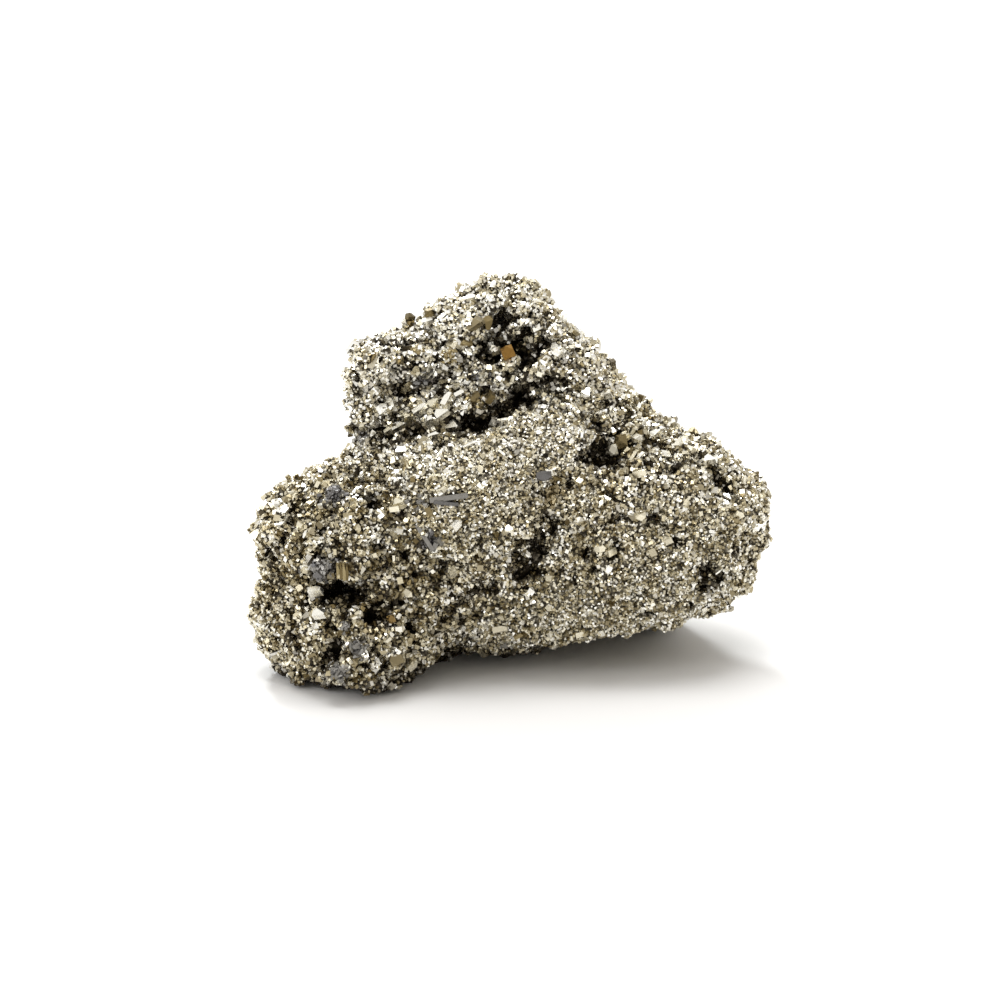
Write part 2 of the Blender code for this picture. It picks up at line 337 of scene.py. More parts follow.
# Away from every place the gaps have their usual depth, which counts with this weight.
USUAL_GAPS = 0.45
USUAL_WEIGHT = 0.12


def nearness(points, place, reach):
    """1 at a place, falling to 0 beyond its reach."""
    return np.exp(-((np.linalg.norm(points - place, axis=1) / (reach * MM)) ** 2))


def grain_factor(points):
    """How coarse the grain is at each point; the back is coarser than the front."""
    back = np.clip((points[:, 1] / MM - BACK_STARTS) / BACK_BLEND, 0, 1)
    factor = FRONT_GRAIN + (BACK_GRAIN - FRONT_GRAIN) * back
    for place, (_, _, reach, change, _) in zip(place_points, PLACES):
        factor *= change ** nearness(points, place, reach)
    return factor


def gap_depth(points):
    """How deep the gaps between the crystals are, from 0 to 1."""
    weights = np.full(len(points), USUAL_WEIGHT)
    total = weights * USUAL_GAPS
    for place, (_, _, reach, _, gaps) in zip(place_points, PLACES):
        near = nearness(points, place, reach)
        weights += near
        total += near * gaps
    return total / weights


print("places of their own grain:", len(PLACES))

# %% [markdown]
# ## The ground between the crystals
# Under the crystals lies a dark ground that shows in the gaps: a stained matrix, darkened
# further as painted shade where it is enclosed or the gaps are deep. It is the
# solid's own skin: a copy is merged, remeshed to a fine even mesh, and eased so that the broad
# facets go. Two procedural patterns then push it in: one leaves rounded clusters of crystals
# standing, the other opens crannies where the gaps are deep. A pattern costs nothing to lay
# over the whole lump, where single dents would each have to be modelled.

# %% Ground mesh
GROUND_VOXEL = 0.47


def apply_modifier(obj, kind, name, settings):
    """Adds a modifier with its settings and applies it."""
    bpy.context.view_layer.objects.active = obj
    modifier = obj.modifiers.new(name, kind)
    for key_name, value in settings.items():
        setattr(modifier, key_name, value)
    bpy.ops.object.modifier_apply(modifier=name)


def pattern(name, kind, settings):
    """A procedural texture with its settings."""
    texture = bpy.data.textures.new(name, kind)
    for key_name, value in settings.items():
        setattr(texture, key_name, value)
    return texture


def push(obj, name, texture, strength, rest_level, group=""):
    """Pushes a surface, by strength in mm, out above the rest level and in below it."""
    settings = {
        "texture": texture,
        "texture_coords": "LOCAL",
        "strength": strength * MM,
        "mid_level": rest_level,
        "vertex_group": group,
    }
    apply_modifier(obj, "DISPLACE", name, settings)


deselect_all()
ground = bpy.data.objects.new("dark_ground", solid.data.copy())
bpy.context.scene.collection.objects.link(ground)
ground.select_set(True)
bpy.context.view_layer.objects.active = ground
bpy.ops.object.mode_set(mode="EDIT")
bpy.ops.mesh.select_all(action="SELECT")
bpy.ops.mesh.remove_doubles(threshold=0.000001)
bpy.ops.object.mode_set(mode="OBJECT")
remesh_settings = {"mode": "VOXEL", "voxel_size": GROUND_VOXEL * MM}
apply_modifier(ground, "REMESH", "even mesh", remesh_settings)
apply_modifier(ground, "SMOOTH", "ease the facets", {"factor": 0.5, "iterations": 4})
print("ground points:", len(ground.data.vertices))

# %% Clusters and crannies
# How far, in mm, each pattern pushes the ground.
CLUSTER_PUSH = 1.25
CRANNY_PUSH = 1.6
vuggy = ground.vertex_groups.new(name="vuggy")
openness = gap_depth(read_points(ground.data))
for index, weight in enumerate(openness.tolist()):
    vuggy.add([index], weight, "REPLACE")

cluster_settings = {"noise_type": "HARD_NOISE", "noise_scale": 2.6 * MM, "noise_depth": 1}
cranny_settings = {"noise_scale": 1.5 * MM, "contrast": 4.0, "intensity": 1.55}
clusters = pattern("clusters", "CLOUDS", cluster_settings)
crannies = pattern("crannies", "CLOUDS", cranny_settings)
push(ground, "clusters of crystals", clusters, CLUSTER_PUSH, 0.82)
push(ground, "crannies", crannies, CRANNY_PUSH, 1.0, "vuggy")
print("how open the ground is, on average:", round(float(openness.mean()), 2))

# %% [markdown]
# ## Small vugs
# The holes that give the front its face lie at known places of the view. Each one is a soft
# dent with a ragged rim, pushed into the ground's own points: a boolean cut would leave a
# clean machined edge, and would cost far more time for sixty of them.

# %% Small vugs
# Right, down, half the width and half the height of the mouth in mm, depth in mm.
# A depth below 0 is a cluster that swells out of a hollow and breaks it up.
SMALL_VUGS = [
    (546, 478, 2.4, 1.6, -0.9),
    (498, 357, 2.2, 1.3, 2.2),
    (482, 350, 1.0, 1.4, 1.6),
    (530, 366, 1.8, 0.9, 2.0),
    (525, 333, 1.2, 0.8, 1.6),
    (490, 340, 0.9, 1.3, 1.4),
    (400, 388, 1.0, 1.2, 1.6),
    (381, 400, 0.7, 0.9, 1.2),
    (532, 396, 1.2, 0.35, 1.0),
    (472, 424, 1.9, 0.9, 2.2),
    (503, 414, 1.4, 0.4, 1.2),
    (419, 433, 1.1, 0.45, 1.6),
    (381, 430, 1.6, 0.35, 1.6),
    (590, 457, 1.5, 0.9, 2.0),
    (606, 441, 0.9, 0.9, 1.6),
    (603, 464, 0.9, 0.5, 1.4),
    (628, 447, 0.8, 1.0, 1.6),
    (645, 455, 0.6, 1.6, 1.6),
    (597, 425, 0.5, 1.0, 1.2),
    (549, 523, 1.4, 0.8, 1.5),
    (552, 530, 0.6, 0.8, 1.3),
    (525, 543, 1.6, 0.7, 1.5),
    (517, 558, 0.9, 1.1, 1.4),
    (538, 571, 1.3, 0.7, 1.4),
    (520, 575, 1.0, 0.6, 1.4),
    (587, 549, 0.7, 1.1, 1.5),
    (604, 558, 1.7, 0.3, 1.2),
    (618, 548, 0.5, 1.1, 1.4),
    (571, 583, 0.8, 0.7, 1.4),
    (595, 570, 0.6, 0.5, 1.1),
    (656, 521, 0.8, 1.0, 1.4),
    (664, 530, 0.8, 0.7, 1.4),
    (676, 541, 0.8, 0.6, 1.4),
    (626, 517, 1.0, 0.4, 1.2),
    (713, 474, 0.8, 0.7, 1.3),
    (722, 482, 0.9, 0.7, 1.4),
    (731, 491, 0.8, 0.6, 1.3),
    (706, 466, 0.5, 0.5, 1.1),
    (736, 551, 0.5, 1.1, 1.6),
    (721, 577, 0.8, 0.8, 1.4),
    (704, 590, 1.0, 0.5, 1.3),
    (735, 577, 0.6, 0.6, 1.2),
    (688, 604, 0.9, 0.4, 1.1),
    (648, 615, 1.0, 0.4, 1.1),
    (340, 588, 3.0, 0.7, 2.0),
    (312, 586, 1.2, 0.6, 1.6),
    (305, 605, 0.5, 1.2, 1.4),
    (372, 616, 1.5, 0.8, 2.0),
    (358, 597, 1.2, 0.6, 1.4),
    (410, 626, 0.7, 0.8, 1.6),
    (335, 647, 1.6, 0.9, 1.6),
    (326, 660, 0.9, 1.0, 1.4),
    (378, 545, 0.6, 0.5, 1.2),
    (355, 542, 0.9, 0.7, 1.3),
    (331, 512, 1.3, 0.9, 1.2),
    (372, 505, 1.1, 0.6, 1.2),
    (404, 600, 0.6, 0.9, 1.2),
    (424, 555, 0.5, 0.9, 1.0),
    (446, 570, 0.7, 0.5, 1.0),
    (569, 484, 0.6, 0.8, 1.4),
    (556, 478, 1.0, 0.3, 1.0),
]


def patchy(points, size):
    """A random value at each point, about -1 to 1, that changes over the given size."""
    return np.array([noise.noise(Vector(point) / size) for point in points.tolist()])


VUG_REACH = 6 * MM
VUG_LENGTH = 2.6 * MM
RIM_GRAIN = 0.9 * MM
RIM_RAGGED = 0.55


def sink_small_vugs(points):
    """Pushes the ground in at each small vug, with a ragged rim."""
    for right, down, half_width, half_height, depth in SMALL_VUGS:
        centre, outward = seen(solid_tree, right, down)
        if depth < 0:
            outward = np.array(toward_eye)
        near = np.flatnonzero(np.linalg.norm(points - centre, axis=1) < VUG_REACH)
        offsets = points[near] - centre
        ragged = patchy(points[near], RIM_GRAIN)
        across = offsets[:, 0] / (half_width * MM)
        up = offsets @ np.array(rise) / (half_height * MM)
        along = offsets @ outward / VUG_LENGTH
        spread = np.sqrt(across**2 + up**2 + along**2) + RIM_RAGGED * ragged
        # Full depth in the middle, and none a little beyond the mouth.
        fall = np.clip(1.6 - 1.1 * spread, 0, 1)
        points[near] -= outward * (fall * depth * MM)[:, None]


ground_points = read_points(ground.data)
sink_small_vugs(ground_points)
ground_points[:, 2] = np.maximum(ground_points[:, 2], 0)
ground.data.vertices.foreach_set("co", ground_points.ravel())
ground.data.shade_flat()
ground.data.update()
print("small vugs:", len(SMALL_VUGS))
print("ground:", sum(len(face.vertices) - 2 for face in ground.data.polygons), "triangles")

# %% [markdown]
# ## Crystal shapes
# Pyrite grows as cubes, as cubes whose corners are cut, and as pyritohedra, with their twelve
# five-sided faces. Grown together they show only corners and slices of these. Each shape starts
# as a cube, and is cut in edit mode: bisect cuts with a plane, drops what is outside it and
# fills the cut. They are kept very plain, because some are repeated thousands of times.

# %% Crystal shapes
def cut_crystal(name, planes, proportions):
    """A crystal 2 units wide, cut by planes: a normal and a distance from the middle."""
    deselect_all()
    bpy.ops.mesh.primitive_cube_add(size=2.0)
    crystal = bpy.context.object
    crystal.name = name
    bpy.ops.object.mode_set(mode="EDIT")
    for normal, distance in planes:
        outward = Vector(normal).normalized()
        bpy.ops.mesh.select_all(action="SELECT")
        bpy.ops.mesh.bisect(
            plane_co=outward * distance,
            plane_no=outward,
            use_fill=True,
            clear_outer=True,
            threshold=0.0001,
        )
    bpy.ops.mesh.select_all(action="SELECT")
    bpy.ops.transform.resize(value=proportions)
    bpy.ops.mesh.normals_make_consistent(inside=False)
    bpy.ops.object.mode_set(mode="OBJECT")
    corners = np.array([vertex.co for vertex in crystal.data.vertices])
    faces = [tuple(face.vertices) for face in crystal.data.polygons]
    bpy.data.objects.remove(crystal)
    tris = sum(len(face) - 2 for face in faces)
    print(name, "has", len(faces), "faces,", tris, "triangles")
    return {"corners": corners, "faces": faces}


def turned_round(normal):
    """A normal and the two more that the crystal's threefold symmetry makes of it."""
    return [normal, normal[1:] + normal[:1], normal[2:] + normal[:2]]


# %% Cut the crystals
PYRITOHEDRON = [
    (turned, 0.86)
    for normal in [(1, 2, 0), (1, -2, 0), (-1, 2, 0), (-1, -2, 0)]
    for turned in turned_round(normal)
]
EVERY_CORNER = [((x, y, z), 1.15) for x in (-1, 1) for y in (-1, 1) for z in (-1, 1)]
# The planes that cut each shape, and its proportions.
CUTS = {
    "cube": ([((1, 1, 1), 1.4)], (1, 1, 1)),
    "brick": ([((1, 1, 0.3), 1.1)], (1, 0.75, 1.25)),
    "wedge": ([((1, 1, 1), 0.75), ((-1, 1, 0.3), 1.0)], (1, 1.15, 0.9)),
    "chip": ([((1, 0.5, 0.2), 0.6), ((-0.4, 1, 0.6), 0.65)], (1.2, 1, 1)),
    "splinter": ([((1, 1, 0.5), 0.5), ((-1, 0.2, 1), 0.8)], (0.8, 0.9, 1.4)),
    "cut cube": (EVERY_CORNER, (1, 1, 1)),
    "pyritohedron": (PYRITOHEDRON, (1, 1, 1)),
    "plate": ([((1, 1, 0), 1.15), ((-1, -1, 0), 1.2)], (1, 1, 0.22)),
    "blade": ([((1, 0, 0.6), 1.0), ((-1, 0, -0.8), 1.0)], (1, 0.13, 0.05)),
}
SHAPES = {name: cut_crystal(name, *cuts) for name, cuts in CUTS.items()}
print("shapes:", len(SHAPES))

# %% [markdown]
# ## Seats for the crystals
# A seat is a point of the ground and the way out from it. Candidates are drawn at random over
# the ground, each area getting its share, and a candidate is dropped where it comes too close
# to an earlier one for its size. The large grains are seated first and the small ones fill in
# between, as they do in the stone. Size follows the place: coarse round the vugs, fine on the
# flank.

# %% Draw the seats
SEED = 11
rng = np.random.default_rng(SEED)
ground_triangles = read_triangles(ground.data)
ground_tree = search_tree(ground.data)
TABLE_CLEARANCE = 0.5 * MM
# Seats are looked up in cells of this size, each with its neighbours.
CELL = 1.5 * MM
NEIGHBOURS = [(dx, dy, dz) for dx in (-1, 0, 1) for dy in (-1, 0, 1) for dz in (-1, 0, 1)]


def draw_seats(count):
    """Random points of the ground, clear of the table, with their outward normals."""
    first, second, third = (ground_points[ground_triangles[:, corner]] for corner in range(3))
    cross = np.cross(second - first, third - first)
    area = np.linalg.norm(cross, axis=1)
    chosen = rng.choice(len(area), count, p=area / area.sum())
    along, over = rng.random((2, count, 1))
    fold = along + over > 1
    along, over = np.where(fold, 1 - along, along), np.where(fold, 1 - over, over)
    points = first[chosen] + along * (second - first)[chosen] + over * (third - first)[chosen]
    normals = cross[chosen] / area[chosen][:, None]
    clear = points[:, 2] > TABLE_CLEARANCE
    return points[clear], normals[clear]


def crowded(point, half, cell, taken, spacing):
    """Whether a seat is too near to one that is taken, for the sizes of the two."""
    px, py, pz = point
    cx, cy, cz = cell
    for dx, dy, dz in NEIGHBOURS:
        for (x, y, z), other in taken.get((cx + dx, cy + dy, cz + dz), ()):
            gap = (x - px) ** 2 + (y - py) ** 2 + (z - pz) ** 2
            if gap < (spacing * (half + other)) ** 2:
                return True
    return False


def thin_seats(points, halves, taken, spacing):
    """Which seats stay when none may be nearer to another than their sizes allow."""
    cells = np.floor(points / CELL).astype(int).tolist()
    kept = []
    for index, (point, half) in enumerate(zip(points.tolist(), halves.tolist())):
        cell = tuple(cells[index])
        if not crowded(point, half, cell, taken, spacing):
            kept.append(index)
            taken.setdefault(cell, []).append((point, half))
    return np.array(kept)


# %% Seat the layers
# The largest half-size of a seat, in mm.
LARGEST = 0.70
# Layers of crystals, largest first: how many seats are tried, smallest and largest half-size
# in mm, and how close two may stand.
LAYERS = [
    (800, 0.42, 0.62, 1.25),
    (11000, 0.25, 0.38, 0.86),
    (150000, 0.17, 0.25, 0.72),
]
taken = {}
layers = []
for tries, smallest, largest, spacing in LAYERS:
    points, normals = draw_seats(tries)
    halves = rng.uniform(smallest, largest, len(points)) * grain_factor(points)
    halves = np.minimum(halves, LARGEST) * MM
    kept = thin_seats(points, halves, taken, spacing)
    layers.append((points[kept], normals[kept], halves[kept]))
    print("seats for half-sizes", smallest, "to", largest, "mm:", len(kept))
seat_points, seat_normals, seat_halves = (np.concatenate(part) for part in zip(*layers))

# %% [markdown]
# ## How enclosed each seat is
# In the vugs and the crevice the crystals are dull and stained, and little light gets to them.
# The darkening by enclosure is partly a real stain and partly painted shade, also next to the
# table.
# Short rays sent out from a seat tell how much of the lump, or of the table under it, stands
# round it. The seats that are deepest in stay bare.

# %% Enclosure
RAYS = 14
REACH = 5.0 * MM
START_ABOVE = 0.25 * MM
# Every ray rises at least this much, so that the ground beside a seat doesn't count.
LOWEST = 0.25


def enclosure(points, normals):
    """The share of short rays from each point that meet the lump again, or the table."""
    golden_turn = math.pi * (3 - math.sqrt(5))
    fan = []
    for index in range(RAYS):
        height = LOWEST + (1 - LOWEST) * (index + 0.5) / RAYS
        radius = math.sqrt(1 - height * height)
        angle = index * golden_turn
        fan.append((radius * math.cos(angle), radius * math.sin(angle), height))
    shares = np.empty(len(points))
    for index, (point, normal) in enumerate(zip(points.tolist(), normals.tolist())):
        out = Vector(normal)
        side = out.orthogonal().normalized()
        other = out.cross(side)
        start = Vector(point) + out * START_ABOVE
        hits = 0
        for a, b, c in fan:
            ray = side * a + other * b + out * c
            under = start.z + ray.z * REACH < 0
            if under or ground_tree.ray_cast(start, ray, REACH)[0] is not None:
                hits += 1
        shares[index] = hits / RAYS
    return shares


seat_enclosure = enclosure(seat_points, seat_normals)
print("rays sent:", RAYS * len(seat_points))

# %% Bare seats
# The ragged enclosure decides which seats stay bare, and how much stain and painted shade a
# crystal gets.
DEEPEST = 0.78
ENCLOSURE_GRAIN = 0.8 * MM
ENCLOSURE_RAGGED = 0.22
ragged = patchy(seat_points, ENCLOSURE_GRAIN)
seat_enclosure = np.clip(seat_enclosure + ENCLOSURE_RAGGED * ragged, 0, 1)
open_seats = seat_enclosure < DEEPEST
print("seats left bare, deep in the vugs:", int((~open_seats).sum()))
seat_points, seat_normals, seat_halves, seat_enclosure = (
    values[open_seats] for values in (seat_points, seat_normals, seat_halves, seat_enclosure)
)
print("enclosure: half of the seats below", round(float(np.median(seat_enclosure)), 2))

# %% [markdown]
# ## The crust
# Every grain gets one of the small shapes, turned at random and set part of the way into the
# ground. Forty thousand objects would be slow, so all grains of one part of the lump are one
# mesh. Three numbers are kept on each crystal for the finish: its tone, which makes neighbours
# differ and carries the painted light and shade of some places, how enclosed it is, which
# darkens it as painted shade and stain, and the hue of its tarnish.

# %% Join crystals into one mesh
def random_turns(count):
    """Random rotations, as matrices."""
    w, x, y, z = rng.normal(size=(count, 4)).T
    size = np.sqrt(w * w + x * x + y * y + z * z)
    w, x, y, z = w / size, x / size, y / size, z / size
    rows = [
        [1 - 2 * (y * y + z * z), 2 * (x * y - z * w), 2 * (x * z + y * w)],
        [2 * (x * y + z * w), 1 - 2 * (x * x + z * z), 2 * (y * z - x * w)],
        [2 * (x * z - y * w), 2 * (y * z + x * w), 1 - 2 * (x * x + y * y)],
    ]
    return np.array(rows).transpose(2, 0, 1)


def join_crystals(name, lots):
    """One object from lots of crystals: shape, centres, turns, half-sizes and marks."""
    corners, loops, starts, marks = [], [], [], []
    corner_count = loop_count = 0
    for shape, centres, turns, halves, lot_marks in lots:
        template = shape["corners"]
        sized = template[None] * halves[:, None, :]
        placed = np.einsum("nij,nkj->nki", turns, sized) + centres[:, None, :]
        corners.append(placed.reshape(-1, 3))
        marks.append(np.repeat(lot_marks, len(template), axis=0))
        face_loops = np.concatenate([np.array(face) for face in shape["faces"]])
        lengths = np.array([len(face) for face in shape["faces"]])
        offsets = corner_count + np.arange(len(centres)) * len(template)
        loops.append((face_loops[None] + offsets[:, None]).ravel())
        first = np.concatenate([[0], np.cumsum(lengths)[:-1]])
        loop_offsets = loop_count + np.arange(len(centres)) * len(face_loops)
        starts.append((first[None] + loop_offsets[:, None]).ravel())
        corner_count += len(placed) * len(template)
        loop_count += len(face_loops) * len(centres)
    corners, loops, starts, marks = map(np.concatenate, (corners, loops, starts, marks))
    corners[:, 2] = np.maximum(corners[:, 2], 0.0)
    mesh = bpy.data.meshes.new(name)
    mesh.vertices.add(len(corners))
    mesh.vertices.foreach_set("co", corners.ravel())
    mesh.loops.add(len(loops))
    mesh.loops.foreach_set("vertex_index", loops.astype(np.int32))
    mesh.polygons.add(len(starts))
    mesh.polygons.foreach_set("loop_start", starts.astype(np.int32))
    colours = np.ones((len(corners), 4))
    colours[:, :3] = marks
    attribute = mesh.attributes.new("marks", "FLOAT_COLOR", "POINT")
    attribute.data.foreach_set("color", colours.ravel())
    mesh.update(calc_edges=True)
    mesh.validate()
    mesh.shade_flat()
    made = bpy.data.objects.new(name, mesh)
    bpy.context.scene.collection.objects.link(made)
    tris = len(loops) - 2 * len(starts)
    print(name, "crystals:", sum(len(lot[1]) for lot in lots), "triangles:", tris)
    return made


# %% Tarnish
# Tarnished patches: right, down, reach in mm, and hue (0 brown, 0.5 none, 1 blue-grey).
TARNISH = [
    (333, 494, 1.6, 1.0),
    (322, 569, 2.0, 1.0),
    (356, 647, 1.5, 1.0),
    (339, 670, 1.5, 1.0),
    (364, 436, 1.3, 0.9),
    (425, 378, 1.4, 1.0),
    (481, 377, 1.4, 1.0),
    (613, 453, 1.0, 1.0),
    (430, 540, 1.2, 1.0),
    (556, 494, 1.5, 0.15),
    (372, 360, 1.0, 0.1),
    (530, 470, 1.0, 0.2),
    (735, 520, 2.2, 0.2),
    (640, 402, 2.5, 0.3),
    (393, 620, 0.6, 0.0),
]
TARNISH_GRAIN = 1.1 * MM
EDGE_RAGGED = 0.8
HUE_CHANGE = 0.12
UNTARNISHED = 0.5


def tarnish(points):
    """The hue of the tarnish at each point."""
    hue = np.full(len(points), UNTARNISHED)
    ragged = patchy(points, TARNISH_GRAIN)
    for right, down, reach, patch_hue in TARNISH:
        centre, _ = seen(ground_tree, right, down)
        distance = np.linalg.norm(points - centre, axis=1) / (reach * MM)
        inside = np.clip(1.6 - 1.2 * distance + EDGE_RAGGED * ragged, 0, 1)
        hue += (patch_hue - UNTARNISHED) * inside
    return np.clip(hue + HUE_CHANGE * ragged, 0, 1)


print("tarnished patches:", len(TARNISH))


# %% Shapes and places of the grains
# The share of each shape among the small grains and among the large ones.
SHARES = {
    "cube": (0.22, 0.05),
    "brick": (0.20, 0.1),
    "wedge": (0.22, 0.25),
    "chip": (0.20, 0.25),
    "splinter": (0.16, 0.1),
    "cut cube": (0.0, 0.25),
}
LARGE_GRAIN = 0.36 * MM
# The larger a grain, the deeper it sits: one of this half-size, a whole half-size deeper.
SUNK = 0.75 * MM
small_shares, large_shares = zip(*SHARES.values())
small_shape = rng.choice(len(SHARES), len(seat_points), p=small_shares)
large_shape = rng.choice(len(SHARES), len(seat_points), p=large_shares)
grain_shape = np.where(seat_halves > LARGE_GRAIN, large_shape, small_shape)
grain_turns = random_turns(len(seat_points))
grain_rise = rng.uniform(0.1, 0.6, len(seat_points)) - seat_halves / SUNK
grain_centres = seat_points + seat_normals * (seat_halves * grain_rise)[:, None]
grain_halves = seat_halves[:, None] * rng.uniform(0.68, 1.3, (len(seat_points), 3))
print("large grains:", int((seat_halves > LARGE_GRAIN).sum()), "of", len(seat_halves))

# %% Tones of the grains
# Places painted brighter or duller: right, down, reach in mm, change of tone. It is painted
# light on the top-lit knob and bench and painted shade on the nose, partly also the crystals'
# own tone.
PAINTED_LIGHT_AND_TONE_PLACES = [
    (500, 340, 13, 0.28),
    (400, 380, 9, 0.24),
    (450, 465, 9, 0.10),
    (330, 600, 13, -0.10),
    (720, 500, 9, 0.08),
]
MIDDLE_TONE = 0.61
CLUSTER_TONE = 0.45
CLUSTER_SIZE = 1.9 * MM
painted_light_and_tone = np.zeros(len(seat_points))
for right, down, reach, change in PAINTED_LIGHT_AND_TONE_PLACES:
    painted_light_and_tone += change * nearness(seat_points, seen(solid_tree, right, down)[0], reach)
cluster_tone = patchy(seat_points, CLUSTER_SIZE)
own_tone = rng.random(len(seat_points)) - 0.5
grain_tone = MIDDLE_TONE + own_tone + CLUSTER_TONE * cluster_tone + painted_light_and_tone
grain_tone = np.clip(grain_tone, 0, 1)
grain_hue = tarnish(seat_points)
grain_marks = np.stack([grain_tone, seat_enclosure, grain_hue], axis=1)
print("tone on average:", round(float(grain_tone.mean()), 2))

# %% One mesh for each part
x, y, z = seat_points.T / MM
PARTS = {
    "crust_knob_left": (z > 30) & (x < -4),
    "crust_knob_right": (z > 30) & (x >= -4),
    "crust_nose": (z <= 30) & (x < -13) & (y < 2),
    "crust_bench": (z <= 30) & (x >= -13) & (x < 8) & (y < 2),
    "crust_flank": (z <= 30) & (x >= 8) & (y < 2),
    "crust_back_left": (z <= 30) & (y >= 2) & (x < 0),
    "crust_back_right": (z <= 30) & (y >= 2) & (x >= 0),
}
pieces = [ground]
for part_name, inside in PARTS.items():
    lots = []
    for index, shape_name in enumerate(SHARES):
        pick = inside & (grain_shape == index)
        grains = (grain_centres, grain_turns, grain_halves, grain_marks)
        lots.append((SHAPES[shape_name], *(values[pick] for values in grains)))
    pieces.append(join_crystals(part_name, lots))

# %% [markdown]
# ## The crystals that stand out
# Some crystals are large or clear enough to be told one by one: an orange-brown one in the
# knob's vug, white facets, a ribbed pillar, grey blades that lie on the crust. Each has its
# place in the view, the way its broad face looks, and how far it is turned round that way. A
# short table of them is easier to correct than sixty separate models.

# %% Colours and ways
# A colour is a tone (0 dark, 1 pale) and a hue of tarnish (0 brown, 0.5 none, 1 blue-grey).
WHITE = (0.9, 0.5)
PALE = (0.65, 0.5)
STONE = (0.1, 0.5)
GREY = (0.6, 0.86)
PALE_GREY = (0.6, 0.76)
BLUE_GREY = (0.5, 1.0)
BROWN = (0.5, 0.17)
TAN = (0.9, 0.17)
DEEP_BROWN = (0.1, 0.22)
OCHRE = (0.45, 0.35)
ORANGE = (0.2, 0.0)
ROSE = (0.35, 0.08)
DARK = (0.0, 0.5)
# A way is how far it points right, up and toward the eye.
GLINT = (-0.37, 0.62, 0.69)
UP = (-0.2, 0.9, 0.35)
FRONT = (-0.1, 0.15, 1.0)
LEFT = (-0.6, 0.2, 0.75)
LOW = (0.1, -0.5, 0.85)
SHARD = (-0.45, 0.45, 0.75)
for way in (GLINT, UP, FRONT, LEFT, LOW, SHARD):
    print("right, up, toward the eye:", [round(part, 2) for part in Vector(way).normalized()])

